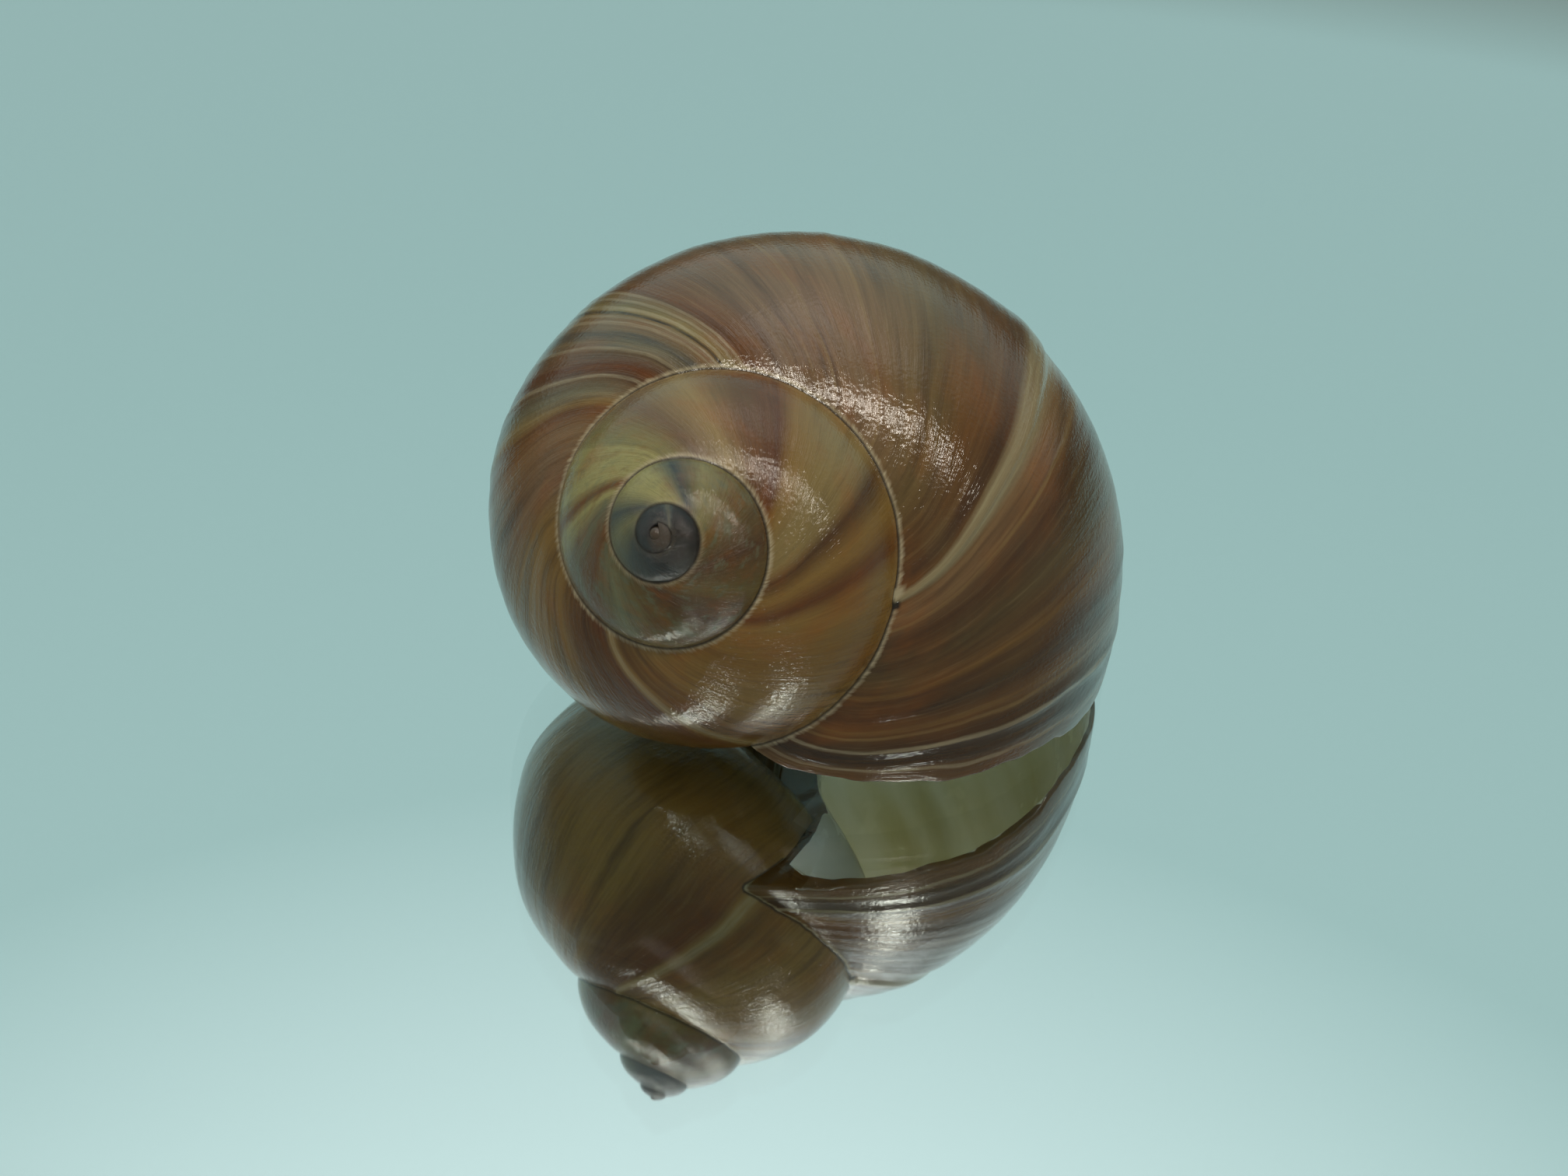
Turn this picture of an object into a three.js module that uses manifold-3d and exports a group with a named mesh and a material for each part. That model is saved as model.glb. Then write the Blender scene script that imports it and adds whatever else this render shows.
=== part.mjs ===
// A moon snail shell: a short, wide, right-handed spiral of about four turns, resting with
// its opening down. Lengths are millimetres, +Z is up.
//
// A snail adds shell only at the lip, and each new piece is a little larger than the last.
// So one outline, turned about the shell's axis while it grows, gives the whole outside. A
// second, smaller outline gives the hollow the animal lived in.
import * as THREE from 'three';
import Module from 'manifold-3d';

const wasm = await Module();
wasm.setup();

// Growth. Turns are counted back from the lip, so the lip is at 0 and the tip near -4.
const TURNS = 4.3;
const GROWTH = 1.0;          // size falls by exp(-1) a turn when far from the lip
const GROWTH_LATE = -0.41;   // the last turn opened more slowly than that
const DROP_LATE = 0.37;      // but slid down the axis faster, which raised the spire
const SUTURE_HEIGHT = -18.0; // where a turn meets the one before it, below the tip

// Outer outline of a turn at the lip, as guide points of a smooth closed curve. Each row is
// the distance from the axis, the height against the tip, and how many degrees that point
// trails behind the suture. The trailing angle slants the lip across the turn.
const OUTER = [
  [16, -17.5, 2],      // the suture, where this turn meets the last
  [19, -18.5, -5],
  [24, -21.5, -26],    // rounded shoulder
  [30.5, -27.5, -40],
  [34, -35, -49],
  [36, -42.5, -53],
  [36.5, -50, -60],    // widest part of the body
  [34.5, -56.5, -68],
  [31, -63, -73],
  [25, -67.5, -77],    // base
  [18, -70, -81],
  [11.5, -69, -87],
  [7, -64.5, -92],     // rim of the open pit round the axis
  [5, -57, -86],
  [4.5, -49, -68],
  [4, -40, -46],
  [4, -32.5, -33],     // from here the outline lies inside the last turn's wall
  [9.5, -29.5, -28],
  [15, -26, -26],
  [16, -20, -14],
];

// Outline of the hollow, with a fourth number: how far the wall is thinned at the lip's edge.
const HOLLOW = [
  [18, -21, -16, 0],
  [21.5, -21.5, -22, 0.4],
  [27, -26.5, -37, 0.9],
  [32, -34, -47, 1],
  [34.5, -43, -55, 1],
  [34.5, -51.5, -64, 1],
  [32, -59.5, -71, 1],
  [26, -65, -74, 0.9],
  [18.5, -68, -79, 0.6],
  [12, -66, -86, 0],    // pillar side of the opening
  [8.5, -60.5, -88, 0],
  [8, -52, -74, 0],
  [7.5, -42.5, -48, 0],
  [8.5, -34.5, -25, 0],
  [14, -30.5, -27, 0],  // glaze laid over the last turn
  [18, -26, -25, 0],
];
const HOLLOW_TURNS = 2.2;    // how far up the hollow is followed
const LIP_OVERRUN = 0.035;   // turns the hollow runs on past the lip, so the mouth is open
const LIP_THINNING = 0.8;    // wall lost right at the edge
const LIP_BEVEL = 0.045;     // turns over which the wall thins

// How the shell lies: the turns, in radians, that bring its own axis to the resting pose.
const SPIN = 4.975;
const TILT = 1.004;
const HEADING = -0.255;
const LEAN = -0.043;         // the last small roll, onto the left of the body
const WORN = 0.35;           // worn flat where it stands
const SMALLEST = 0.03;       // detail finer than this is merged away

// One point of the spiral: an outline point (radius, height) at a count of turns.
function onSpiral(turns, radius, height) {
  const late = Math.exp(turns) - 1;
  const size = Math.exp(GROWTH * turns + GROWTH_LATE * late);
  const drop = size * Math.exp(DROP_LATE * late);
  const angle = 2 * Math.PI * turns;
  return new THREE.Vector3(
    size * radius * Math.cos(angle),
    -size * radius * Math.sin(angle),
    drop * SUTURE_HEIGHT + size * (height - SUTURE_HEIGHT),
  );
}

// A point on the smooth closed curve through a table of guide points, at 0 to 1 round it.
function onCurve(table, share) {
  const place = share * table.length;
  const first = Math.floor(place);
  const f = place - first;
  const weights = [
    (1 - f) ** 3 / 6,
    (3 * f ** 3 - 6 * f ** 2 + 4) / 6,
    (-3 * f ** 3 + 3 * f ** 2 + 3 * f + 1) / 6,
    f ** 3 / 6,
  ];
  const sum = table[0].map(() => 0);
  weights.forEach((weight, k) => {
    const row = table[(first - 1 + k + table.length) % table.length];
    row.forEach((value, n) => {
      sum[n] += weight * value;
    });
  });
  return sum;
}

// One ring of the tube: the whole outline at one moment of growth.
function ring(table, turns, count) {
  const thinning = LIP_THINNING * THREE.MathUtils.smoothstep(turns, -LIP_BEVEL, 0);
  const points = [];
  for (let k = 0; k < count; k += 1) {
    let [radius, height, trail, thins = 0] = onCurve(table, k / count);
    const out = new THREE.Vector2(radius - 18, height + 44).normalize();
    radius += thinning * thins * out.x;
    height += thinning * thins * out.y;
    points.push(onSpiral(turns + trail / 360, radius, height));
  }
  return points;
}

// A closed tube through a run of rings, with a fan over each end.
function tube(table, start, end, rings, count) {
  const rows = [];
  for (let k = 0; k <= rings; k += 1) {
    rows.push(ring(table, start + (end - start) * k / rings, count));
  }
  const middle = (row) => row.reduce((a, b) => a.add(b), new THREE.Vector3()).divideScalar(count);
  const points = rows.flat().concat([middle(rows[0]), middle(rows[rings])]);
  const backCentre = points.length - 2;
  const frontCentre = points.length - 1;
  const faces = [];
  for (let k = 0; k < count; k += 1) {
    const next = (k + 1) % count;
    for (let r = 0; r < rings; r += 1) {
      const a = r * count + k;
      const b = r * count + next;
      const c = (r + 1) * count + k;
      const d = (r + 1) * count + next;
      faces.push(a, d, b, a, c, d);
    }
    faces.push(backCentre, k, next);
    faces.push(frontCentre, rings * count + next, rings * count + k);
  }
  return solid(points, faces);
}

function solid(points, faces) {
  const mesh = new wasm.Mesh({
    numProp: 3,
    vertProperties: new Float32Array(points.flatMap((p) => [p.x, p.y, p.z])),
    triVerts: new Uint32Array(faces),
  });
  return new wasm.Manifold(mesh);
}

// The whole spiral in short runs that overlap by one ring. A run stays well under a full
// turn, so that it never meets itself.
function spiral(table, from, to, runs) {
  let whole = null;
  runs.forEach(([start, end, rings, count]) => {
    const first = Math.max(start, from);
    const last = end === 0 ? to : end;
    const step = (last - first) / rings;
    const back = first > from ? first - step : first;
    const piece = tube(table, back, last, rings + (first > from ? 1 : 0), count);
    whole = whole ? whole.add(piece) : piece;
  });
  return whole;
}

// start, end, rings, points round the outline: coarser towards the small tip
const outside = spiral(OUTER, -TURNS, 0, [
  [-TURNS, -3.7, 4, 8],
  [-3.7, -3.1, 5, 10],
  [-3.1, -2.5, 7, 14],
  [-2.5, -1.9, 10, 20],
  [-1.9, -1.3, 13, 24],
  [-1.3, -0.65, 18, 30],
  [-0.65, 0, 22, 36],
]);
const hollow = spiral(HOLLOW, -HOLLOW_TURNS, LIP_OVERRUN, [
  [-HOLLOW_TURNS, -1.7, 5, 12],
  [-1.7, -1.1, 8, 16],
  [-1.1, -0.55, 10, 20],
  [-0.55, 0, 15, 26],
]);

// The largest closed body is kept: where the inner turns press together they can shut in
// specks of empty space, and those are filled.
const bodies = outside.subtract(hollow).simplify(SMALLEST).decompose();
const grown = bodies.reduce((a, b) => (b.volume() > a.volume() ? b : a));

// Lay the shell down and wear its lowest spots flat.
const turn = new THREE.Matrix4()
  .makeRotationY(LEAN)
  .multiply(new THREE.Matrix4().makeRotationZ(HEADING))
  .multiply(new THREE.Matrix4().makeRotationX(TILT))
  .multiply(new THREE.Matrix4().makeRotationZ(SPIN));
const lying = grown.transform(turn.toArray());
const lowest = lying.boundingBox().min[2];
const rested = lying.trimByPlane([0, 0, 1], lowest + WORN);
const box = rested.boundingBox();
const placed = rested.translate([
  -(box.min[0] + box.max[0]) / 2,
  -(box.min[1] + box.max[1]) / 2,
  -box.min[2],
]);

const made = placed.getMesh();
const geometry = new THREE.BufferGeometry();
geometry.setAttribute('position', new THREE.BufferAttribute(made.vertProperties, 3));
geometry.setIndex(new THREE.BufferAttribute(made.triVerts, 1));
const material = new THREE.MeshStandardMaterial({ color: 0x7a5a3c, roughness: 0.25, metalness: 0 });
const shell = new THREE.Mesh(geometry, material);
shell.name = 'shell';

const part = new THREE.Group();
part.name = 'moon_snail_shell';
part.add(shell);
export default part;
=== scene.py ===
# %% [markdown]
# # A moon snail shell, grown turn by turn
# The shell is one solid: a tube that winds round an axis and widens as it goes, with a smaller
# tube taken out of it for the animal's room. It could be sculpted by hand, but the animal
# follows a simple law. A script that follows the same law makes the form, the growth lines and
# the colour bands agree with each other. This lesson builds the shell with many more points
# than the CAD part, adds the low relief of its growth lines, and gives it a layered gloss.

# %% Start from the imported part
import math
from functools import partial

import bmesh
import bpy
import numpy as np
from mathutils import Matrix, Vector, kdtree


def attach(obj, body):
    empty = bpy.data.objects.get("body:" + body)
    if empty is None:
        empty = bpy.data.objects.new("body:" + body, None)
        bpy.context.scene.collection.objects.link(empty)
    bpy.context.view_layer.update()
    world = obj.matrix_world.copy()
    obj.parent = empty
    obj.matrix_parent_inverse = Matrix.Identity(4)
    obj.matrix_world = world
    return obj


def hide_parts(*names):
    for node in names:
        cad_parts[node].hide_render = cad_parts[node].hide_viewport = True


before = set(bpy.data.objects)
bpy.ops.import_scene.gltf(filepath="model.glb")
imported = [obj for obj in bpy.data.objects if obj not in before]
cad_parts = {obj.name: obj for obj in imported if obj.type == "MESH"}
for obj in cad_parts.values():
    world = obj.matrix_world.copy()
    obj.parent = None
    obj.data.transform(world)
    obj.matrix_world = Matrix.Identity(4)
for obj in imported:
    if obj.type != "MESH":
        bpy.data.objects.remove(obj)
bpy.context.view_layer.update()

# %% [markdown]
# ## How the shell grows
# A snail adds shell only at the lip. Every new ring is a little larger than the one before it,
# so size follows an exponential of the number of turns. Turns are counted back from the lip:
# the lip is 0 and the tip is near -4. The last turn opened more slowly but slid down faster.

# %% The growth law
GROWTH = 1.0             # power of e by which the size grows in one early turn
GROWTH_LATE = -0.41      # the slowing of the last turn
DROP_LATE = 0.37         # how much faster the last turn slides down the axis
SUTURE_HEIGHT = -18.0    # height of the suture at the lip, against the tip, mm
LIP_CIRCLE = 2 * math.pi * 36    # mm in one turn at the lip


def size_at(turns):
    return np.exp(GROWTH * turns + GROWTH_LATE * (np.exp(turns) - 1))


def drop_at(turns):
    return size_at(turns) * np.exp(DROP_LATE * (np.exp(turns) - 1))


def height_at(turns, height):
    return drop_at(turns) * SUTURE_HEIGHT + size_at(turns) * (height - SUTURE_HEIGHT)


def on_spiral(turns, radius, height):
    angle = 2 * np.pi * turns
    x = size_at(turns) * radius * np.cos(angle)
    y = -size_at(turns) * radius * np.sin(angle)
    return np.stack([x, y, height_at(turns, height)], -1)


print("size one turn back:", round(float(size_at(-1.0)), 3))

# %% [markdown]
# ## The two outlines
# Each row is a guide point of a smooth closed curve at the lip: distance from the axis in mm,
# height against the tip in mm, the angle in degrees by which that point trails behind, and how
# much of the thinning of the wall at the lip falls there. The trailing angle slants the growth
# lines across a turn, as on the real shell. Outlines made of guide points are easy to compare
# with a picture and to correct one point at a time.

# %% Outline of the outside
OUTSIDE = np.array([
    [16, -17.6, 2, 0],
    [19.5, -18.8, -8, 0],
    [24.3, -21.6, -26, 0],
    [30.5, -27.5, -40, 0],
    [34, -35, -49, 0],
    [36, -42.5, -53, 0],
    [36.5, -50, -60, 0],
    [34.5, -56.5, -68, 0],
    [31, -63, -73, 0],
    [25, -67.5, -77, 0],
    [18, -70, -81, 0],
    [11.5, -69, -87, 0],
    [7, -64.5, -92, 0],
    [5, -57, -86, 0],
    [4.5, -49, -68, 0],
    [4, -40, -46, 0],
    [4, -32.5, -33, 0],
    [9.5, -29.5, -28, 0],
    [11.5, -23, -12, 0],
    [13, -17.8, 6, 0],
])
print("outside guided by", len(OUTSIDE), "points")

# %% Outline of the hollow
HOLLOW = np.array([
    [18, -21, -16, 0],
    [21.5, -21.5, -22, 0.4],
    [27, -26.5, -37, 0.9],
    [32, -34, -47, 1],
    [34.5, -43, -55, 1],
    [34.5, -51.5, -64, 1],
    [32, -59.5, -71, 1],
    [26, -65, -74, 0.9],
    [18.5, -68, -79, 0.6],
    [12, -66, -86, 0],
    [8.5, -60.5, -88, 0],
    [8, -52, -74, 0],
    [7.5, -42.5, -48, 0],
    [8.5, -34.5, -25, 0],
    [14, -30.5, -27, 0],
    [18, -26, -25, 0],
])
print("hollow guided by", len(HOLLOW), "points")

# %% A smooth closed curve
HIDDEN_WEIGHT = 0.45    # spacing counts this much where the outline will be covered


def on_curve(table, share):
    """The place at a share of the way round the outline, on a cubic B-spline."""
    count = len(table)
    place = np.asarray(share) * count
    first = np.floor(place).astype(int)
    f = (place - first)[:, None]
    weights = [
        (1 - f) ** 3 / 6,
        (3 * f ** 3 - 6 * f ** 2 + 4) / 6,
        (-3 * f ** 3 + 3 * f ** 2 + 3 * f + 1) / 6,
        f ** 3 / 6,
    ]
    return sum(w * table[(first - 1 + k) % count] for k, w in enumerate(weights))


def shares(table, count, shown):
    """Places round the outline, closer together where it will be seen."""
    s = np.linspace(0, 1, 2001)
    steps = np.hypot(*np.diff(on_curve(table, s)[:, :2], axis=0).T)
    middle = (s[1:] + s[:-1]) / 2
    seen = (middle > shown[0]) & (middle < shown[1])
    along = np.r_[0, np.cumsum(steps * np.where(seen, 1.0, HIDDEN_WEIGHT))]
    return np.interp(np.arange(count) / count * along[-1], along, s)


def outward(table, share):
    """Outward direction of the outline, in (radius, height)."""
    small = 0.002
    ahead = on_curve(table, (share + small) % 1)[:, :2]
    behind = on_curve(table, (share - small) % 1)[:, :2]
    along = ahead - behind
    along /= np.linalg.norm(along, axis=1, keepdims=True)
    out = np.stack([-along[:, 1], along[:, 0]], -1)
    middle = table[:, :2].mean(0)
    if ((on_curve(table, share)[:, :2] - middle) * out).sum() < 0:
        out = -out
    return out


print("first point of the outside:", on_curve(OUTSIDE, [0.0])[0, :2].round(1))

# %% [markdown]
# ## Low relief
# Growth never runs evenly. The surface swells and sinks by about a tenth of a millimetre, some
# lines stand up as thin ridges, and where the snail once rested for a season the old lip stays
# as a step. A bump in the finish could fake this, but real relief also shows in the outline
# and in the highlights. It is added along the outline's own outward direction, in lip mm.

# %% Lists of the relief
# turn, half width in turns, height in mm
RIDGES = [
    (-0.032, 0.0035, 0.22),
    (-0.018, 0.0030, 0.10),
    (-0.066, 0.0040, 0.08),
    (-0.148, 0.0035, 0.12),
    (-0.187, 0.0050, 0.16),
    (-0.300, 0.0040, 0.08),
    (-0.345, 0.0035, 0.08),
    (-0.437, 0.0025, 0.13),
    (-0.445, 0.0022, 0.10),
    (-0.452, 0.0022, 0.12),
    (-0.463, 0.0030, 0.16),
    (-0.497, 0.0035, 0.14),
    (-0.532, 0.0035, 0.14),
    (-0.565, 0.0050, 0.14),
    (-0.868, 0.0050, 0.12),
    (-1.080, 0.0060, 0.10),
    (-1.145, 0.0050, 0.10),
    (-1.255, 0.0060, 0.12),
    (-1.490, 0.0060, 0.12),
    (-1.615, 0.0060, 0.14),
    (-2.450, 0.0120, 0.15),
    (-3.300, 0.0150, 0.20),
]
SWELLS = (0.34, 0.19, 0.11, 0.061, 0.037, 0.023, 0.0145)    # lengths of the swells, turns
SWELL_HEIGHT = 0.40      # mm for a swell that is one turn long
CALM = 0.35              # what is left of the relief on the old, worn turns
CALM_BEFORE = -1.05      # the turn where the relief calms down
CALM_OVER = 0.08         # turns over which it does so
REST = -0.176            # the old lip of a season's rest
REST_STEP = 0.42         # how far it stands above the newer shell, mm
REST_LENGTH = 0.13       # turns over which the swelling behind it dies away
REST_FACE = 0.004        # turns over which the step falls to the newer shell
print(len(RIDGES), "ridges and", len(SWELLS), "lengths of swell")

# %% Relief of the growth lines


def relief(turns, share):
    rng = np.random.default_rng(7)
    height = np.zeros((len(turns), len(share)))
    u = turns[:, None]
    s = share[None, :]
    for length in SWELLS:
        phase, bend, slow = rng.uniform(0, 2 * np.pi, 3)
        wander = 1.4 * np.sin(2 * np.pi * s * 1.7 + bend) + 0.8 * np.sin(u * 3.1 + slow)
        strength = 0.5 + 0.5 * np.sin(u * 6.3 + s * 7 + slow)
        wave = np.sin(2 * np.pi * u / length + phase + wander)
        height += SWELL_HEIGHT * length ** 0.8 * strength * wave
    for place, width, tall in RIDGES:
        wave = 0.0012 * np.sin(s * 41 + place * 90) + 0.0008 * np.sin(s * 97 + place * 30)
        fade = 0.65 + 0.35 * np.sin(s * 17 + place * 50)
        height += tall * fade * np.exp(-(((u - place - wave) / width) ** 2))
    behind = np.clip((REST - u) / REST_LENGTH, 0, 1)
    step = np.where(u < REST, (1 - behind) ** 2, np.exp(-(((u - REST) / REST_FACE) ** 2)))
    calm = CALM + (1 - CALM) / (1 + np.exp(-(u - CALM_BEFORE) / CALM_OVER))
    return height * calm + REST_STEP * step


sample = relief(np.linspace(-1, 0, 400), np.linspace(0, 0.5, 60))
print("relief of the last turn, mm:", sample.min().round(2), "to", sample.max().round(2))

# %% [markdown]
# ## Out to the seam
# On the real shell each older turn bulges right out to the seam with the next one, called the
# suture. A growth law with one outline leaves it a little short. The gap is measured here for
# many places, and the older turns swell by that much near the seam.

# %% Swelling to meet the next suture
SUTURE = (17.0, -18.0)    # where a turn's outline meets the turn before it, at the lip, mm
COVERED = -0.9            # turns before this one have a suture on their outer side
FILL_WIDTH = 0.105        # share of the outline over which the swelling fades


def filling():
    """How far a turn must swell to meet the next suture, and at which share of its outline."""
    share = np.linspace(0.12, 0.5, 400)
    row = on_curve(OUTSIDE, share)
    places = np.linspace(-4.6, COVERED, 120)
    swell, where = [], []
    for place in places:
        size = size_at(place)
        radius = size * row[:, 0]
        height = height_at(place, row[:, 1])
        target_radius = size_at(place + 1) * SUTURE[0]
        target_height = drop_at(place + 1) * SUTURE[1]
        gap = np.hypot(radius - target_radius, height - target_height)
        k = int(gap.argmin())
        ahead = min(k + 1, len(share) - 1)
        slope = np.array([radius[ahead] - radius[k - 1], height[ahead] - height[k - 1]])
        out = np.array([-slope[1], slope[0]]) / np.hypot(*slope)
        side = out @ np.array([target_radius - radius[k], target_height - height[k]])
        swell.append(float(side / size))
        where.append(float(share[k]))
    return places, np.array(swell), np.array(where)


FILL_PLACES, FILL_SWELL, FILL_SHARE = filling()
print("swelling in lip mm:", FILL_SWELL.min().round(2), "to", FILL_SWELL.max().round(2))


def fill_at(place, share):
    started = np.clip((COVERED - place) / 0.1, 0, 1)
    swell = np.interp(place, FILL_PLACES, FILL_SWELL) * started
    middle = np.interp(place, FILL_PLACES, FILL_SHARE)
    return swell * np.exp(-(((share - middle) / FILL_WIDTH) ** 2))


# %% [markdown]
# ## The lip
# The newest shell is the thinnest. Towards the lip the hollow widens, so that the wall thins,
# and its edge is rounded over half a millimetre and slightly frayed, as a real lip chips.

# %% Points of the rings
LIP_THINNING = 0.8    # mm taken off the wall
LIP_BEVEL = 0.045     # turns over which the wall thins
LIP_ROUND = 0.5       # mm over which the lip's edge is rounded
LIP_FRAY = 0.03       # turns behind the lip that take part in its fraying


def rounding(turns):
    """How far the surface draws in close to the lip's edge, mm."""
    near = np.clip(LIP_ROUND + turns * LIP_CIRCLE, 0, LIP_ROUND)
    return LIP_ROUND - np.sqrt(LIP_ROUND ** 2 - near ** 2)


def fray(turns, share):
    """How far each point of the outside runs ahead or behind, in turns."""
    waves = 0.0011 * np.sin(share * 61) + 0.0008 * np.sin(share * 143 + 1)
    waves = waves + 0.0006 * np.sin(share * 301)
    late = np.clip(1 + turns / LIP_FRAY, 0, 1)[:, None] ** 2
    return waves[None, :] * late


def ring_points(table, turns, share, bumpy):
    row = on_curve(table, share)[None]
    out = outward(table, share)[None]
    x = np.clip((turns + LIP_BEVEL) / LIP_BEVEL, 0, 1)[:, None]
    move = LIP_THINNING * x * x * (3 - 2 * x) * row[..., 3]
    edge = rounding(np.minimum(turns, 0))[:, None]
    place = turns[:, None] + row[..., 2] / 360
    if bumpy:
        move = move + relief(turns, share) - edge
        move = move + fill_at(place, share[None, :])
        place = place + fray(turns, share)
    else:
        move = move + edge * row[..., 3]
    radius = row[..., 0] + move * out[..., 0]
    height = row[..., 1] + move * out[..., 1]
    return on_spiral(place, radius, height)


print("one turn at the lip is", round(LIP_CIRCLE), "mm long")

# %% [markdown]
# ## Rings and tubes
# A run of rings less than about two thirds of a turn long never touches itself, so it makes a
# clean closed tube. The number of turns and the share of the way round the outline ride along
# as a UV layer called growth, so the finish can follow the growth lines exactly.

# %% One closed tube
GROWTH_LAYER = "growth"


def tube_faces(rings, around):
    """Quads of the side, and triangles that close both ends from a middle point."""
    k = np.arange(around)
    after = (k + 1) % around
    start = np.arange(rings - 1)[:, None] * around
    last = (rings - 1) * around
    quads = [start + k, start + around + k, start + around + after, start + after]
    back = [np.full(around, rings * around), k, after]
    front = [np.full(around, rings * around + 1), last + after, last + k]
    return [np.stack(face, -1).reshape(-1, len(face)) for face in (quads, back, front)]


def tube_uv(turns, share):
    """For every corner of every face its turn and its share of the outline."""
    rings = len(turns) - 1
    near = share
    far = np.r_[share[1:], 1.0]
    s0 = np.tile(near, rings)
    s1 = np.tile(far, rings)
    u0 = np.repeat(turns[:-1], len(share))
    u1 = np.repeat(turns[1:], len(share))
    first = np.full(len(share), turns[0])
    last = np.full(len(share), turns[-1])
    half = np.full(len(share), 0.5)
    faces = [
        ((u0, s0), (u1, s0), (u1, s1), (u0, s1)),
        ((first, half), (first, near), (first, far)),
        ((last, half), (last, far), (last, near)),
    ]
    corners = [np.stack([np.stack(c, -1) for c in face], 1).reshape(-1, 2) for face in faces]
    return np.vstack(corners)


def tube(name, table, turns, share, bumpy):
    points = ring_points(table, turns, share, bumpy)
    rings, around = points.shape[:2]
    points = np.vstack([points.reshape(-1, 3), points[0].mean(0), points[-1].mean(0)])
    faces = sum((face.tolist() for face in tube_faces(rings, around)), [])
    mesh = bpy.data.meshes.new(name)
    mesh.from_pydata(points.tolist(), [], faces)
    layer = mesh.uv_layers.new(name=GROWTH_LAYER)
    layer.data.foreach_set("uv", tube_uv(turns, share).ravel())
    body = bpy.data.objects.new(name, mesh)
    bpy.context.collection.objects.link(body)
    return body


# %% [markdown]
# ## Joining the runs
# Runs that share an end ring are joined with the Boolean modifier. Its manifold solver is fast
# and keeps a closed solid closed. Rings stand close together at the lip, where one looks most
# closely, and farther apart where a turn is wide and even.

# %% Spirals
# mm behind the lip at which its first rings stand
LIP_RINGS = np.array([0, 0.02, 0.06, 0.12, 0.2, 0.3, 0.42, 0.55])


def combine(base, other, operation):
    step = base.modifiers.new("combine", "BOOLEAN")
    step.operation = operation
    step.solver = "MANIFOLD"
    step.material_mode = "TRANSFER"
    step.object = other
    graph = bpy.context.evaluated_depsgraph_get()
    mesh = bpy.data.meshes.new_from_object(base.evaluated_get(graph))
    base.modifiers.clear()
    base.data = mesh
    bpy.data.objects.remove(other)


def spiral(name, table, turns, share, cuts, material, bumpy):
    ends = [0] + [int(np.argmin(abs(turns - c))) for c in cuts] + [len(turns) - 1]
    whole = None
    for start, end in zip(ends[:-1], ends[1:]):
        run = tube(name, table, turns[start:end + 1], share, bumpy)
        run.data.materials.append(material)
        if whole is None:
            whole = run
        else:
            combine(whole, run, "UNION")
    print(name, "has", len(whole.data.vertices), "points")
    return whole


def ring_places(start, end, step, longest):
    """Turns of the rings, closer together towards the lip."""
    edge = -LIP_RINGS / LIP_CIRCLE
    places = list(edge + min(end, 0))
    while places[-1] > start:
        places.append(places[-1] - min(step / size_at(places[-1]), longest))
    if end > 0:
        places.insert(0, end)
    return np.array(places[::-1])


# %% [markdown]
# ## Nodes, written short
# A finish is a tree of small nodes. One function turns an sRGB hex colour into the linear
# numbers that Blender mixes. Another adds any node with its settings and its links in one
# call, so a line of the script reads like one node of the tree.

# %% Helpers for the finish


def linear(hex_colour, alpha=True):
    parts = [int(hex_colour[k:k + 2], 16) / 255 for k in (0, 2, 4)]
    parts = [c / 12.92 if c <= 0.04045 else ((c + 0.055) / 1.055) ** 2.4 for c in parts]
    return (*parts, 1.0) if alpha else tuple(parts)


def add_node(tree, kind, *inputs, out=None, **more):
    """Add a node and give back an output: the one named in out, or the first in use.

    Inputs come in the node's order, or by name. A name with a small first letter is a
    setting of the node. An input that is a socket is linked, and any other is a value.
    """
    node = tree.nodes.new("ShaderNode" + kind)
    for name, value in more.items():
        if name[0].islower():
            setattr(node, name, value)
    pairs = list(zip([socket for socket in node.inputs if socket.enabled], inputs))
    for name, value in more.items():
        if name[0].isupper():
            pairs.append((node.inputs[name.replace("_", " ")], value))
    for socket, value in pairs:
        if isinstance(value, bpy.types.NodeSocket):
            tree.links.new(value, socket)
        else:
            socket.default_value = value
    if out is not None:
        return node.outputs[out]
    return next((socket for socket in node.outputs if socket.enabled), None)


def empty_material(name):
    """A material with no nodes yet, and the function that adds nodes to it."""
    material = bpy.data.materials.new(name)
    material.use_nodes = True
    material.node_tree.nodes.clear()
    return material, partial(add_node, material.node_tree)


def set_stops(ramp, stops):
    """Give a colour ramp its stops, each a place from 0 to 1 with a linear colour."""
    while len(ramp.elements) < len(stops):
        ramp.elements.new(0.5)
    for element, (place, colour) in zip(ramp.elements, stops):
        element.position = place
        element.color = colour


print("mid grey 808080 is", round(linear("808080")[0], 3), "in linear light")

# %% [markdown]
# ## The colours of the bands
# The colour of a moon snail changes each time its food or the season changes, so bands of
# brown, ochre, olive and grey run exactly along the growth lines. An image could hold them, but
# a list of named colours against turns stays sharp at any size. A ramp holds 32 stops at most,
# so there are three lists: the last turn, the turn before it, and the dark first turns.

# %% Named colours
COLOURS = {
    "golden": "6a4f1f",
    "olive": "574a22",
    "brown": "563a18",
    "dark brown": "432b13",
    "umber": "33210f",
    "red brown": "522c0e",
    "reddish": "5f3a15",
    "ochre": "775d2c",
    "tan": "836e42",
    "cream olive": "8d8a58",
    "grey brown": "68533c",
    "grey": "5f5b46",
    "olive tan": "767045",
    "green grey": "666848",
    "slate": "3a4340",
    "blue slate": "283236",
    "charcoal": "22272a",
    "near black": "070a0c",
    "brown tan": "6e5638",
    "olive brown": "5b4a28",
    "dark olive": "463a20",
    "bone": "a49c80",
    "khaki": "78683f",
    "nub": "42392f",
}
print(len(COLOURS), "named colours")

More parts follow.
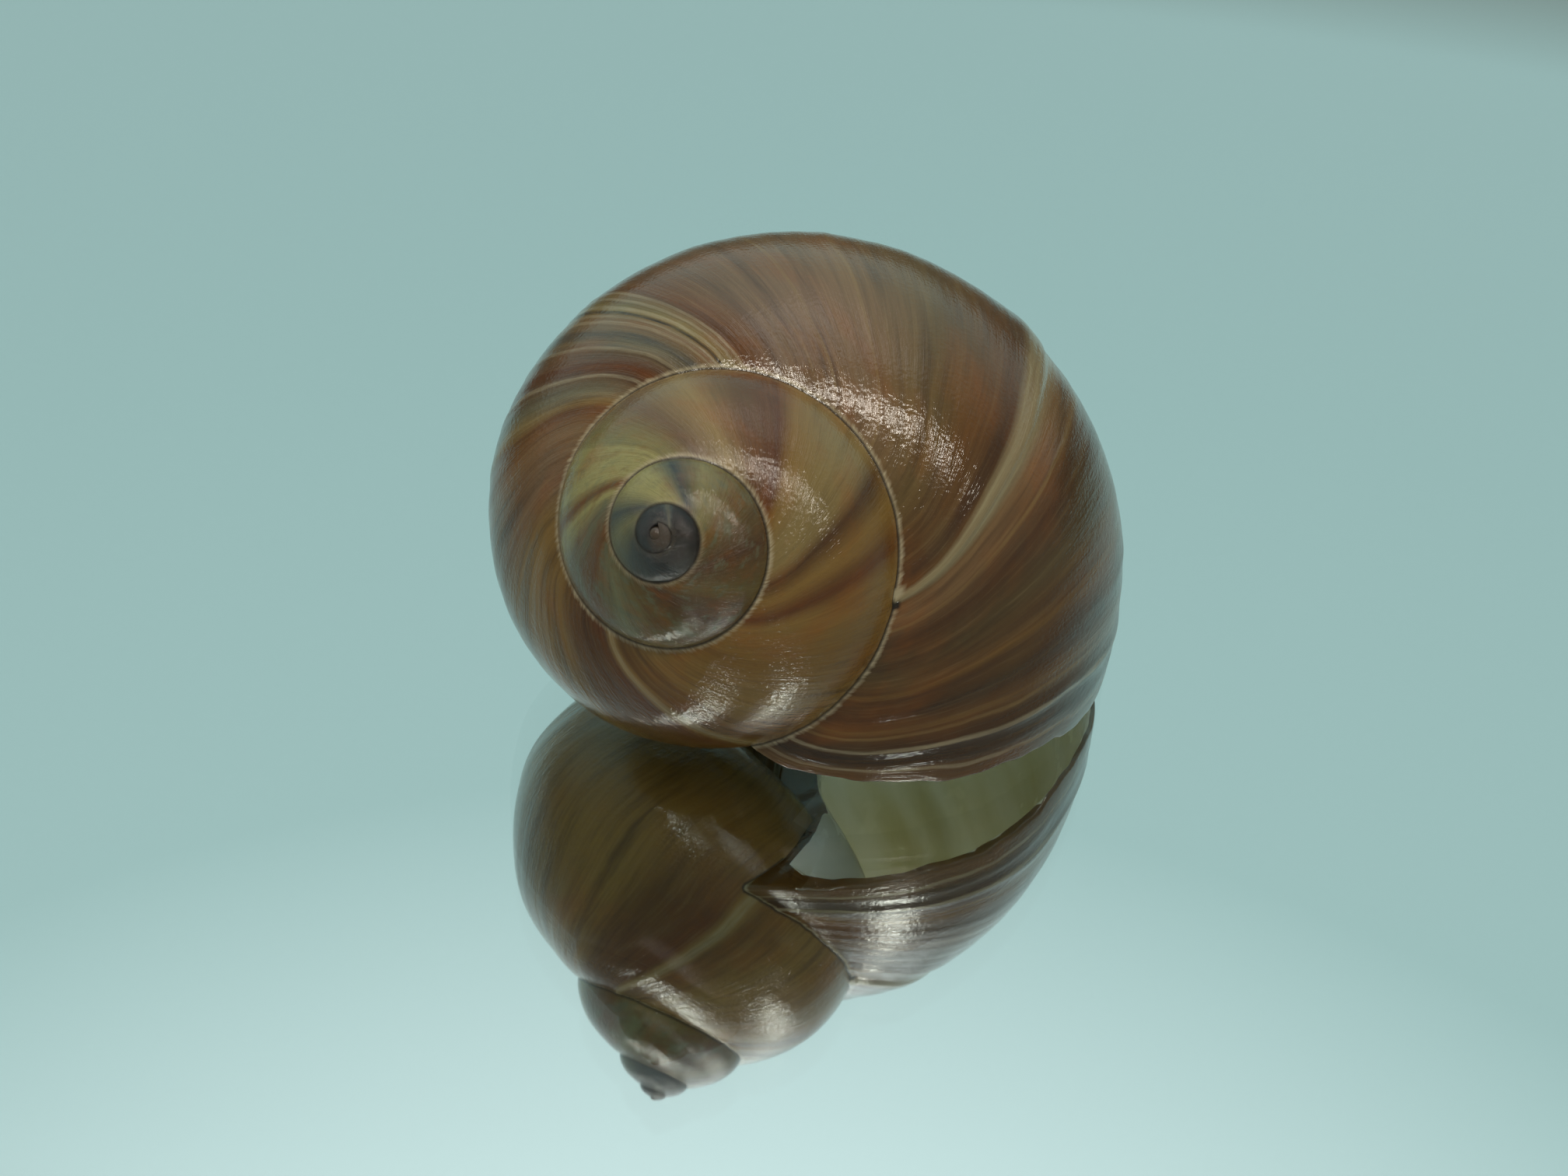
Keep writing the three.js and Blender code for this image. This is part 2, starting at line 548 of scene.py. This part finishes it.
# %% Bands of the last turn
LAST_TURN = [
    (-1.00, "golden"), (-0.93, "ochre"), (-0.88, "brown"), (-0.868, "tan"),
    (-0.855, "red brown"), (-0.80, "brown"), (-0.77, "ochre"), (-0.70, "ochre"),
    (-0.66, "grey brown"), (-0.60, "brown tan"), (-0.575, "reddish"), (-0.565, "tan"),
    (-0.55, "grey"), (-0.52, "red brown"), (-0.485, "grey"), (-0.463, "brown tan"),
    (-0.45, "olive tan"), (-0.43, "reddish"), (-0.39, "grey brown"), (-0.30, "brown tan"),
    (-0.25, "olive brown"), (-0.21, "brown"), (-0.190, "dark brown"), (-0.182, "brown"),
    (-0.163, "brown tan"), (-0.135, "dark brown"), (-0.11, "dark olive"), (-0.085, "brown"),
    (-0.065, "umber"), (-0.05, "brown"), (-0.032, "umber"), (0.0, "brown"),
]
print(len(LAST_TURN), "stops on the last turn")

# %% Bands of the older turns
EARLIER_TURN = [
    (-2.00, "olive"), (-1.93, "dark brown"), (-1.85, "olive"), (-1.78, "green grey"),
    (-1.72, "brown"), (-1.65, "grey"), (-1.615, "cream olive"), (-1.595, "reddish"),
    (-1.57, "cream olive"), (-1.50, "cream olive"), (-1.49, "olive tan"),
    (-1.475, "olive tan"), (-1.42, "grey brown"), (-1.36, "tan"), (-1.31, "brown"),
    (-1.262, "red brown"), (-1.24, "ochre"), (-1.20, "khaki"), (-1.16, "khaki"),
    (-1.14, "dark brown"), (-1.11, "ochre"), (-1.08, "red brown"), (-1.06, "ochre"),
    (-1.00, "golden"),
]
FIRST_TURNS = [
    (-4.30, "nub"), (-3.95, "nub"), (-3.75, "charcoal"), (-3.35, "charcoal"),
    (-3.30, "slate"), (-3.25, "near black"), (-2.98, "near black"), (-2.86, "blue slate"),
    (-2.74, "slate"), (-2.62, "green grey"), (-2.55, "slate"), (-2.47, "cream olive"),
    (-2.40, "cream olive"), (-2.34, "blue slate"), (-2.27, "olive tan"), (-2.18, "olive"),
    (-2.08, "dark brown"), (-2.00, "olive"),
]
print(len(EARLIER_TURN) + len(FIRST_TURNS), "stops on the older turns")

# %% [markdown]
# ## Short growth pauses
# Each time growth stopped for a few days, the lip left a thin pale line, and now and then a
# dark crack beside it. They are thinner than the bands, so each is laid over the bands alone.

# %% Lines of the growth pauses
# turn, half width in turns (0.002 is half a millimetre at the lip), strength, colour
PAUSES = [
    (-0.868, 0.006, 0.35, "bone"),
    (-0.532, 0.003, 0.45, "bone"),
    (-0.497, 0.003, 0.40, "bone"),
    (-0.480, 0.006, 0.60, "blue slate"),
    (-0.466, 0.0025, 0.42, "bone"),
    (-0.459, 0.002, 0.38, "bone"),
    (-0.4545, 0.002, 0.90, "near black"),
    (-0.450, 0.0025, 0.50, "bone"),
    (-0.442, 0.002, 0.38, "bone"),
    (-0.435, 0.002, 0.45, "bone"),
    (-0.345, 0.002, 0.35, "tan"),
    (-0.300, 0.002, 0.35, "tan"),
    (-0.148, 0.002, 0.40, "tan"),
    (-0.085, 0.003, 0.30, "ochre"),
    (-0.050, 0.003, 0.30, "ochre"),
    (-0.044, 0.002, 0.35, "tan"),
    (-0.0315, 0.0025, 0.50, "bone"),
    (-0.022, 0.008, 0.60, "near black"),
    (-0.012, 0.002, 0.40, "bone"),
    (-1.615, 0.006, 0.4, "cream olive"),
    (-3.30, 0.02, 0.5, "grey"),
]
print(len(PAUSES), "growth pauses")

# %% [markdown]
# ## Patterns that follow the growth
# All patterns are noise in the growth UV layer, stretched along the growth lines: many waves in
# a turn and few along a line. A shade is laid over the colour wherever a pattern passes a
# limit, in the way a painter glazes one thin coat over another.

# %% Pattern helpers


def shell_places(add):
    """Sockets for the turn and for the share of the way round the outline."""
    growth = add("UVMap", uv_map=GROWTH_LAYER)
    turns = add("SeparateXYZ", growth, out="X")
    return turns, turns.node.outputs["Y"]


def streaks(add, turns, share, across, along, detail=4.0, rough=0.6, shift=0.0, depth=0.0):
    """Noise with so many waves across the lines in a turn, and so many along a line."""
    x = add("Math", turns, across, shift, operation="MULTIPLY_ADD")
    y = add("Math", share, along, operation="MULTIPLY")
    at = add("CombineXYZ", x, y, depth)
    return add("TexNoise", at, 1.0, detail, rough)


def glaze(add, colour, pattern, start, full, strength, shade, where=None):
    """Lay a shade over the colour, from where the pattern passes start to where it is full."""
    mask = add("MapRange", pattern, start, full, 0.0, strength)
    if where is not None:
        mask = add("Math", mask, where, operation="MULTIPLY")
    return add("Mix", mask, colour, linear(shade), data_type="RGBA")


def distance(add, value, place):
    away = add("Math", value, place, operation="SUBTRACT")
    return add("Math", away, operation="ABSOLUTE")


def bands(add, turns, rows):
    start = rows[0][0]
    length = rows[-1][0] - start
    place = add("Math", turns, start, operation="SUBTRACT")
    place = add("Math", place, length, operation="DIVIDE")
    colour = add("ValToRGB", place)
    stops = [((turn - start) / length, linear(COLOURS[name])) for turn, name in rows]
    set_stops(colour.node.color_ramp, stops)
    return colour


# %% [markdown]
# ## Ground colour, clouds and blotches
# Under the streaks lie the bands. Clouds one to two centimetres wide push the brown towards
# orange or olive, and the older turns have green-grey and umber blotches of a few millimetres.
# Below the widest part of each turn the colour is painted lighter, as painted light from below.

# %% Ground colour
WAVINESS = 0.007    # how far growth lines wander, in turns, 1.6 mm at the lip
# where the pattern starts and is full, strength, colour
CLOUDS = [
    (0.50, 0.70, 0.40, "804912"),
    (0.46, 0.30, 0.20, "5c5530"),
]
BLOTCHES = [
    (0.52, 0.64, 0.65, "585f48"),
    (0.47, 0.34, 0.55, "5a3a15"),
]
# painted light from below: the lower side of the turns is laid over with a lighter golden brown
UNDERSIDE_LIGHT_COAT = (0.20, 0.32, 0.60, "9c763c")


def wavy_turns(add, turns, share):
    """The turns with a slight wander, so that no line is perfectly clean."""
    wander = streaks(add, turns, share, 9.0, 16.0, 3.0, 0.5)
    wander = add("Math", wander, 0.5, operation="SUBTRACT")
    return add("Math", wander, WAVINESS, turns, operation="MULTIPLY_ADD")


def ground_colour(add, turns, wavy, share, grown):
    older = add("Math", turns, -2.0, operation="GREATER_THAN")
    first = bands(add, wavy, FIRST_TURNS)
    earlier = bands(add, wavy, EARLIER_TURN)
    colour = add("Mix", older, first, earlier, data_type="RGBA")
    newer = add("Math", turns, -1.0, operation="GREATER_THAN")
    last = bands(add, wavy, LAST_TURN)
    colour = add("Mix", newer, colour, last, data_type="RGBA")

    cloud = streaks(add, turns, share, 14.0, 11.0)
    for start, full, strength, shade in CLOUDS:
        colour = glaze(add, colour, cloud, start, full, strength, shade, grown)

    # painted light from below: full on the older turns, a third of it near the lip, none on the
    # first turns
    painted_light_below = add("MapRange", turns, -0.45, -0.30, 1.0, 0.3)
    kept = add("MapRange", turns, -2.2, -1.8, 0.0, 1.0)
    painted_light_below = add("Math", painted_light_below, kept, operation="MULTIPLY")
    colour = glaze(add, colour, share, *UNDERSIDE_LIGHT_COAT, painted_light_below)

    blotch = streaks(add, turns, share, 22.0, 26.0, 5.0, 0.62, depth=4.0)
    early = add("MapRange", turns, -1.40, -1.65, 0.10, 1.0)
    early = add("Math", early, grown, operation="MULTIPLY")
    for start, full, strength, shade in BLOTCHES:
        colour = glaze(add, colour, blotch, start, full, strength, shade, early)
    return colour


# %% [markdown]
# ## Streaks and pauses
# Dark streaks come every five millimetres at the lip, then finer ones, dark and pale, down to
# half a millimetre. The last winter's pause is a pale band, narrow at the suture and broad
# farther down.

# %% Streaks
# waves in a turn, waves along a line, and where the noise starts
STREAKS = {
    "broad": (48.0, 5.0, 3.0),
    "middle": (150.0, 8.0, 11.0),
    "fine": (420.0, 14.0, 23.0),
    "fibres": (300.0, 30.0, 5.0),
    "ragged": (260.0, 9.0, 7.0),
}
# pattern, where it starts and is full, strength, colour, whether it spares the first turns
STREAK_COATS = [
    ("broad", 0.52, 0.68, 0.55, "2c1a0a", False),
    ("middle", 0.48, 0.72, 0.32, "33220f", False),
    ("middle", 0.46, 0.24, 0.20, "8e7a50", True),
    ("fine", 0.50, 0.76, 0.22, "2d2012", False),
    ("fine", 0.42, 0.26, 0.12, "9a8a66", True),
]
WINTER = (1.1, 0.5, 0.8, "97906f")
for name, (across, along, shift) in STREAKS.items():
    print(name, "streaks every", round(LIP_CIRCLE / across, 1), "mm at the lip")


def streaked(add, colour, patterns, turns, grown):
    late = add("MapRange", turns, -1.06, -0.96, 0.40, 1.0)
    grown_late = add("Math", grown, late, operation="MULTIPLY")
    for name, start, full, strength, shade, spares in STREAK_COATS:
        where = grown_late if spares else late
        colour = glaze(add, colour, patterns[name], start, full, strength, shade, where)
    return colour


def paused(add, colour, patterns, wavy, share, fibres):
    for place, width, strength, shade in PAUSES:
        away = distance(add, wavy, place)
        hex_colour = COLOURS[shade]
        colour = glaze(add, colour, away, width, 0.4 * width, strength, hex_colour, fibres)
    half = add("MapRange", share, 0.02, 0.16, 0.005, 0.013)
    away = add("Math", distance(add, wavy, REST), half, operation="DIVIDE")
    broken = add("MapRange", patterns["fine"], 0.25, 0.6, 1.0, 0.6)
    return glaze(add, colour, away, *WINTER, broken)


# %% [markdown]
# ## The suture
# Each turn grips the one before it with a pale, fibrous edge, and a dark line of painted shade
# lies in the crack, in place of its shadow. Every point of the mesh knows its distance to that
# crack, as the attribute seam.
# The last pause broke the edge there, and left a pale knob with a notch before it, painted dark
# as shade.

# %% Colours along the suture
YOUNGER_SIDE = 0.12    # share of the outline that counts as the younger side of the suture
KNOB = -0.181
PIT = -0.170
EDGE_COAT = (0.5, 0.2, 0.8, "aea588")
# painted shade: a dark line along the suture stands in for the shadow in its crack
CRACK_SHADE_COAT = (0.22, 0.05, 0.85, "1d150c")
KNOB_COAT = (0.006, 0.002, 1.0, "9f977a")
# painted shade: the notch before the knob is painted near black in place of its shadow
PIT_SHADE_COAT = (0.005, 0.002, 1.0, "140e08")


def sutured(add, colour, patterns, turns, share, seam, fibres):
    younger = add("Math", share, YOUNGER_SIDE, operation="LESS_THAN")
    ragged = add("Math", patterns["ragged"], 0.5, operation="SUBTRACT")
    ragged = add("Math", ragged, 0.7, seam, operation="MULTIPLY_ADD")
    where = add("Math", younger, fibres, operation="MULTIPLY")
    kept = add("MapRange", turns, -2.6, -1.4, 0.1, 1.0)
    where = add("Math", where, kept, operation="MULTIPLY")
    colour = glaze(add, colour, ragged, *EDGE_COAT, where)

    # painted shade in the suture's crack, narrower on the first turns
    narrow = add("MapRange", turns, -4.0, -2.6, 0.3, 1.0)
    crack = add("Math", seam, narrow, operation="DIVIDE")
    colour = glaze(add, colour, crack, *CRACK_SHADE_COAT)

    near = add("MapRange", seam, 0.5, 0.9, 0.9, 0.0)
    near = add("Math", near, younger, operation="MULTIPLY")
    colour = glaze(add, colour, distance(add, turns, KNOB), *KNOB_COAT, near)
    # painted shade in the notch before the knob
    near = add("MapRange", seam, 0.4, 0.7, 0.95, 0.0)
    near = add("Math", near, younger, operation="MULTIPLY")
    return glaze(add, colour, distance(add, turns, PIT), *PIT_SHADE_COAT, near)


# %% [markdown]
# ## The outside's finish
# The outside is shell lime under a thin horny skin. The skin lies in wrinkles finer than the
# relief, with a grain of about 0.4 mm, and these break every highlight into sparkles. A weak
# coat over a glossy base gives the two layers of shine. It is satin towards the new lip.

# %% Outside material
PITS_A_METRE = 2600.0     # a grain of 0.4 mm
GLOSS_A_METRE = 420.0     # patches of gloss 2.4 mm wide
WRINKLES = (760.0, 26.0, 3.0, 0.6, 31.0)    # one every 0.3 mm at the lip
HORN_IOR = 1.48


def outside_finish():
    # Glossy shell under a thin horny skin: deep warm browns, with a clear sheen over them.
    material, add = empty_material("shell, horny brown outside")
    turns, share = shell_places(add)
    seam = add("Attribute", attribute_name="seam", out="Fac")
    place = add("TexCoord", out="Object")
    wavy = wavy_turns(add, turns, share)
    grown = add("MapRange", turns, -2.55, -2.15, 0.15, 1.0)
    patterns = {}
    for name, (across, along, shift) in STREAKS.items():
        patterns[name] = streaks(add, wavy, share, across, along, shift=shift)
    fibres = add("MapRange", patterns["fibres"], 0.35, 0.62, 0.35, 1.0)

    colour = ground_colour(add, turns, wavy, share, grown)
    colour = streaked(add, colour, patterns, turns, grown)
    colour = paused(add, colour, patterns, wavy, share, fibres)
    colour = sutured(add, colour, patterns, turns, share, seam, fibres)

    wrinkles = streaks(add, wavy, share, *WRINKLES)
    pits = add("TexNoise", place, PITS_A_METRE, 1.0, 0.5)
    bump = add("Bump", Strength=0.5, Distance=0.00010, Height=patterns["middle"])
    bump = add("Bump", Strength=1.0, Distance=0.00003, Height=wrinkles, Normal=bump)
    bump = add("Bump", Strength=1.0, Distance=0.000035, Height=pits, Normal=bump)
    gloss = add("TexNoise", place, GLOSS_A_METRE, 3.0, 0.6)
    rough = add("MapRange", gloss, 0.3, 0.7, 0.09, 0.20)
    satin = add("MapRange", turns, -0.12, -0.02, 0.0, 0.07)
    rough = add("Math", rough, satin, operation="ADD")
    shader = add("BsdfPrincipled", Base_Color=colour, Roughness=rough, IOR=HORN_IOR,
                 Coat_Weight=0.2, Coat_Roughness=0.06, Normal=bump, Coat_Normal=bump)
    add("OutputMaterial", shader)
    print(material.name, "has", len(material.node_tree.nodes), "nodes")
    return material


outside = outside_finish()

# %% [markdown]
# ## The inside's finish
# The lining is smooth, porcelain-like lime, cream with faint growth streaks, and whitest on the
# pillar. The wall is thin, so light comes through it and brightens the mouth. Scattering under
# the surface does that here, over a few millimetres.

# %% Inside material
PILLAR = (0.56, 0.62)      # the lining whitens between these shares of the outline
WAVES_A_METRE = 260.0      # soft waves 4 mm long
LIME_IOR = 1.53
LIGHT_THROUGH = 0.0045     # how far light travels in the wall, metres


def inside_finish():
    # Porcelain lining: a soft, clear gloss, and a glow where the wall is thin.
    material, add = empty_material("shell, porcelain inside")
    turns, share = shell_places(add)
    streak = streaks(add, turns, share, 45.0, 6.0, 3.0, 0.55)
    streak = add("MapRange", streak, 0.35, 0.65, 0.0, 1.0)
    colour = add("Mix", streak, linear("d0c8ac"), linear("dfd9c6"), data_type="RGBA")
    colour = glaze(add, colour, share, *PILLAR, 1.0, "efeee4")
    place = add("TexCoord", out="Object")
    waves = add("TexNoise", place, WAVES_A_METRE, 2.0, 0.5)
    bump = add("Bump", Strength=0.25, Distance=0.00015, Height=waves)
    rough = add("MapRange", waves, 0.3, 0.7, 0.18, 0.3)
    shader = add("BsdfPrincipled", Base_Color=colour, Roughness=rough, IOR=LIME_IOR,
                 Subsurface_Weight=0.8, Subsurface_Radius=(1.0, 1.0, 0.9),
                 Subsurface_Scale=LIGHT_THROUGH, Coat_Weight=0.5, Coat_Roughness=0.08,
                 Normal=bump, Coat_Normal=bump)
    add("OutputMaterial", shader)
    print(material.name, "has", len(material.node_tree.nodes), "nodes")
    return material


inside = inside_finish()

# %% [markdown]
# ## The first chamber
# The snail hatches with a tiny ball of a shell, and the spiral starts round it. The tube alone
# would leave a pinhole at the pole of the spiral, so the ball is made as a sphere of its own.

# %% The nub
NUB_RADIUS = 0.50           # mm
NUB_HEIGHT = -0.67          # its middle, below the tip of the spiral
NUB_PLACE = (-4.3, 0.12)    # where it counts as standing on the shell: turn, share


def nub():
    """The first chamber, a tiny ball that closes the pole of the spiral."""
    ball = bmesh.new()
    bmesh.ops.create_uvsphere(ball, u_segments=28, v_segments=14, radius=NUB_RADIUS)
    bmesh.ops.translate(ball, verts=ball.verts, vec=(0, 0, NUB_HEIGHT))
    layer = ball.loops.layers.uv.new(GROWTH_LAYER)
    for face in ball.faces:
        for corner in face.loops:
            corner[layer].uv = NUB_PLACE
    mesh = bpy.data.meshes.new("nub")
    ball.to_mesh(mesh)
    ball.free()
    mesh.materials.append(outside)
    piece = bpy.data.objects.new("nub", mesh)
    bpy.context.collection.objects.link(piece)
    print("nub", 2 * NUB_RADIUS, "mm across")
    return piece


# %% [markdown]
# ## Build the shell
# The outside is joined from seven runs and the hollow from four. Then the hollow, which runs a
# little past the lip, is taken away, and that opens the mouth.

# %% Outside minus hollow
FIRST_TURN = -4.3      # where the spiral starts
HOLLOW_TURN = -2.2     # how deep the hollow goes, farther than can be seen
HOLLOW_END = 0.035     # how far the hollow runs past the lip
OUTSIDE_CUTS = [-3.7, -3.1, -2.5, -1.9, -1.3, -0.65]
HOLLOW_CUTS = [-1.7, -1.1, -0.55]
NAME = "moon_snail_shell"

outer_turns = ring_places(FIRST_TURN, 0.0, 0.0023, 0.013)
hollow_turns = ring_places(HOLLOW_TURN, HOLLOW_END, 0.006, 0.012)
outer_shares = shares(OUTSIDE, 130, (0.0, 0.52))
hollow_shares = shares(HOLLOW, 72, (0.0, 1.0))
shell = spiral(NAME, OUTSIDE, outer_turns, outer_shares, OUTSIDE_CUTS, outside, True)
combine(shell, nub(), "UNION")
hollow = spiral("hollow", HOLLOW, hollow_turns, hollow_shares, HOLLOW_CUTS, inside, False)
combine(shell, hollow, "DIFFERENCE")

# %% [markdown]
# ## Lay it down
# The shell rests on its mouth side. The same turns and small lean as in the CAD part bring its
# axis to the resting pose, and its tip to the same place. Points that would sink below the
# table are flattened, as the shell is worn flat where it stands.

# %% Resting pose
# radians, in the order in which they turn the shell
SPIN = 4.975
TILT = 1.004
HEADING = -0.255
LEAN = -0.043
TIP = (-12.70, -24.25, 28.79)    # where the CAD part's tip stands, mm
CREASE = 38                      # edges sharper than this many degrees stay sharp

pose = (Matrix.Rotation(LEAN, 4, "Y") @ Matrix.Rotation(HEADING, 4, "Z")
        @ Matrix.Rotation(TILT, 4, "X") @ Matrix.Rotation(SPIN, 4, "Z"))
mesh = shell.data
mesh.transform(pose)
points = np.empty(len(mesh.vertices) * 3)
mesh.vertices.foreach_get("co", points)
points = points.reshape(-1, 3)
points = (points + TIP) / 1000
print("lowest point before flattening, mm:", (1000 * points[:, 2].min()).round(2))
points[:, 2] = np.maximum(points[:, 2], 0)
mesh.vertices.foreach_set("co", points.ravel())
mesh.update()
mesh.polygons.foreach_set("use_smooth", [True] * len(mesh.polygons))
mesh.set_sharp_from_angle(angle=math.radians(CREASE))

# %% [markdown]
# ## Find the suture
# Where two turns meet, a point has the share of both: a small one for the younger turn, and a
# larger one for the older turn under it. Those points are the suture. Each point of the mesh
# keeps its distance to them, up to 3 mm, for the finish to use.

# %% Distance to the suture
YOUNGER_BELOW = 0.10
OLDER_BETWEEN = (0.15, 0.40)
FARTHEST = 3.0    # mm

layer = mesh.uv_layers[GROWTH_LAYER].data
corner_point = np.empty(len(mesh.loops), int)
mesh.loops.foreach_get("vertex_index", corner_point)
corner_uv = np.empty(2 * len(mesh.loops))
layer.foreach_get("uv", corner_uv)
share_low = np.ones(len(mesh.vertices))
share_high = np.zeros(len(mesh.vertices))
np.minimum.at(share_low, corner_point, corner_uv[1::2])
np.maximum.at(share_high, corner_point, corner_uv[1::2])
meets = (share_high > OLDER_BETWEEN[0]) & (share_high < OLDER_BETWEEN[1])
meets = meets & (share_low < YOUNGER_BELOW)
sharp = [e.vertices[:] for e in mesh.edges if meets[list(e.vertices)].all()]
tree = kdtree.KDTree(2 * len(sharp))
for k, pair in enumerate(sharp):
    for n in (0, 1):
        tree.insert(mesh.vertices[pair[n]].co, 2 * k + n)
tree.balance()
seam = mesh.attributes.new("seam", "FLOAT", "POINT")
away = [min(FARTHEST, 1000 * tree.find(v.co)[2]) for v in mesh.vertices]
seam.data.foreach_set("value", away)
print("suture edges:", len(sharp))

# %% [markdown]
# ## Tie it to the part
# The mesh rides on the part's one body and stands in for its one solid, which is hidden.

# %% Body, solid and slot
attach(shell, "root")
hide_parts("shell")
triangles = sum(len(p.vertices) - 2 for p in mesh.polygons)
print("shell:", len(mesh.vertices), "points,", triangles, "triangles")

# %% [markdown]
# ## The table
# The shell stands on a mirror, which shows the mouth side that would be hidden otherwise. A
# mirror is a silvered sheet under clear glass, so the shell and its image stay a little apart.
# Two flat sheets do it: a metal one that reflects, and a clear one that the shell touches.

# %% Floor
SILVERING = -0.0026       # the reflecting face seems this deep below the glass, metres
HALF_TABLE = 3.0          # metres
GLASS_MIRRORING = 0.05    # share of the light that the top of the glass sends back


def silver_finish():
    # Silvered mirror: a nearly perfect reflection, faintly green-blue from the glass.
    material, add = empty_material("floor, polished pale")
    shader = add("BsdfPrincipled", Base_Color=linear("e6f1f0"), Metallic=1.0, Roughness=0.03)
    add("OutputMaterial", shader)
    return material


def glass_finish():
    # Clear glass: almost all light goes through, and a little mirrors off its top.
    material, add = empty_material("floor, clear glass")
    clear = add("BsdfTransparent", linear("fbfdfd"))
    gloss = add("BsdfGlossy", Color=linear("ffffff"), Roughness=0.02)
    both = add("MixShader", GLASS_MIRRORING, clear, gloss)
    add("OutputMaterial", both)
    return material


def sheet(name, height, material):
    h = HALF_TABLE
    corners = [(-h, -h, height), (h, -h, height), (h, h, height), (-h, h, height)]
    flat = bpy.data.meshes.new(name)
    flat.from_pydata(corners, [], [(0, 1, 2, 3)])
    flat.materials.append(material)
    piece = bpy.data.objects.new(name, flat)
    bpy.context.collection.objects.link(piece)
    print(name, "at", round(1000 * height, 2), "mm")


sheet("floor", SILVERING, silver_finish())
sheet("floor_glass", 0.0, glass_finish())

# %% [markdown]
# ## The room
# A glossy thing looks like what surrounds it. Here that is a pale green-blue wall behind the
# table, brighter overhead and dark near the horizon, and a plain grey-brown room behind the
# camera. A gradient over the sky is enough, since the gloss is never sharp enough to show more.

# %% Room light
# height as the sine of the angle above the horizon, colour
WALL = [
    (0.0, "4f4a3e"), (0.15, "66645a"), (0.235, "a5bfbd"), (0.45, "abc5c3"), (0.68, "b4cdcb"),
    (0.84, "e4f4f3"), (1.0, "ffffff"),
]
ROOM = "918c84"

world = bpy.data.worlds.new("pale room")
bpy.context.scene.world = world
world.use_nodes = True
world.node_tree.nodes.clear()
add = partial(add_node, world.node_tree)
direction = add("TexCoord", out="Generated")
up = add("SeparateXYZ", direction, out="Z")
wall = add("ValToRGB", up)
set_stops(wall.node.color_ramp, [(height, linear(shade)) for height, shade in WALL])
behind = add("MapRange", up.node.outputs["Y"], -0.10, 0.50, 0.0, 1.0)
sky = add("Mix", behind, linear(ROOM), wall, data_type="RGBA")
add("OutputWorld", add("Background", sky, 1.0))
print("room light has", len(world.node_tree.nodes), "nodes")

# %% [markdown]
# ## The lamps
# Two small warm lamps stand close to the shell, left and right of the camera. Their glints are
# the broken highlights on each turn. A wide soft light overhead fills the rest.

# %% Lamps
# name, direction from the shell, distance and size in metres, watts, colour
LAMPS = [
    ("left lamp", (-0.20, -0.40, 0.89), 0.30, (0.045, 0.030), 0.22, "fff6e8"),
    ("right lamp", (0.33, -0.40, 0.85), 0.30, (0.045, 0.030), 0.20, "fff6e8"),
    ("overhead light", (0.12, 0.12, 0.99), 1.4, (0.9, 0.5), 1.6, "ffffff"),
]
for name, towards, how_far, size, power, colour in LAMPS:
    light = bpy.data.lights.new(name, "AREA")
    light.shape = "RECTANGLE"
    light.size, light.size_y = size
    light.energy = power
    light.color = linear(colour, alpha=False)
    holder = bpy.data.objects.new(name, light)
    bpy.context.collection.objects.link(holder)
    holder.location = Vector(towards).normalized() * how_far
    holder.rotation_mode = "QUATERNION"
    holder.rotation_quaternion = Vector(towards).to_track_quat("Z", "Y")
    print(name, "of", power, "W at", how_far, "m")

# %% [markdown]
# ## The camera
# It looks down on the spire from 14 cm away, as one would hold a camera over a small thing. Its
# place and lens were fitted to the shell's outline and seams. The plain view transform keeps
# the colours as they were given.

# %% Camera
LENS = 34.46                              # mm, on a sensor 36 mm wide
PLACE = (-0.00622, -0.10934, 0.08534)     # metres
FORWARD = (0.0248, 0.8145, -0.5797)
RIGHT = (0.9987, 0.0062, 0.0515)

camera_data = bpy.data.cameras.new("camera")
camera = bpy.data.objects.new("camera", camera_data)
bpy.context.collection.objects.link(camera)
camera_data.sensor_width = 36.0
camera_data.lens = LENS
camera_data.clip_start = 0.005
forward = Vector(FORWARD).normalized()
right = Vector(RIGHT)
right = (right - forward * right.dot(forward)).normalized()
upward = right.cross(forward)
turn = Matrix((right, upward, -forward)).transposed()
camera.matrix_world = Matrix.Translation(PLACE) @ turn.to_4x4()
bpy.context.scene.camera = camera
bpy.context.scene.view_settings.view_transform = "Standard"
print("camera", round(1000 * Vector(PLACE).length), "mm from the middle of the table")
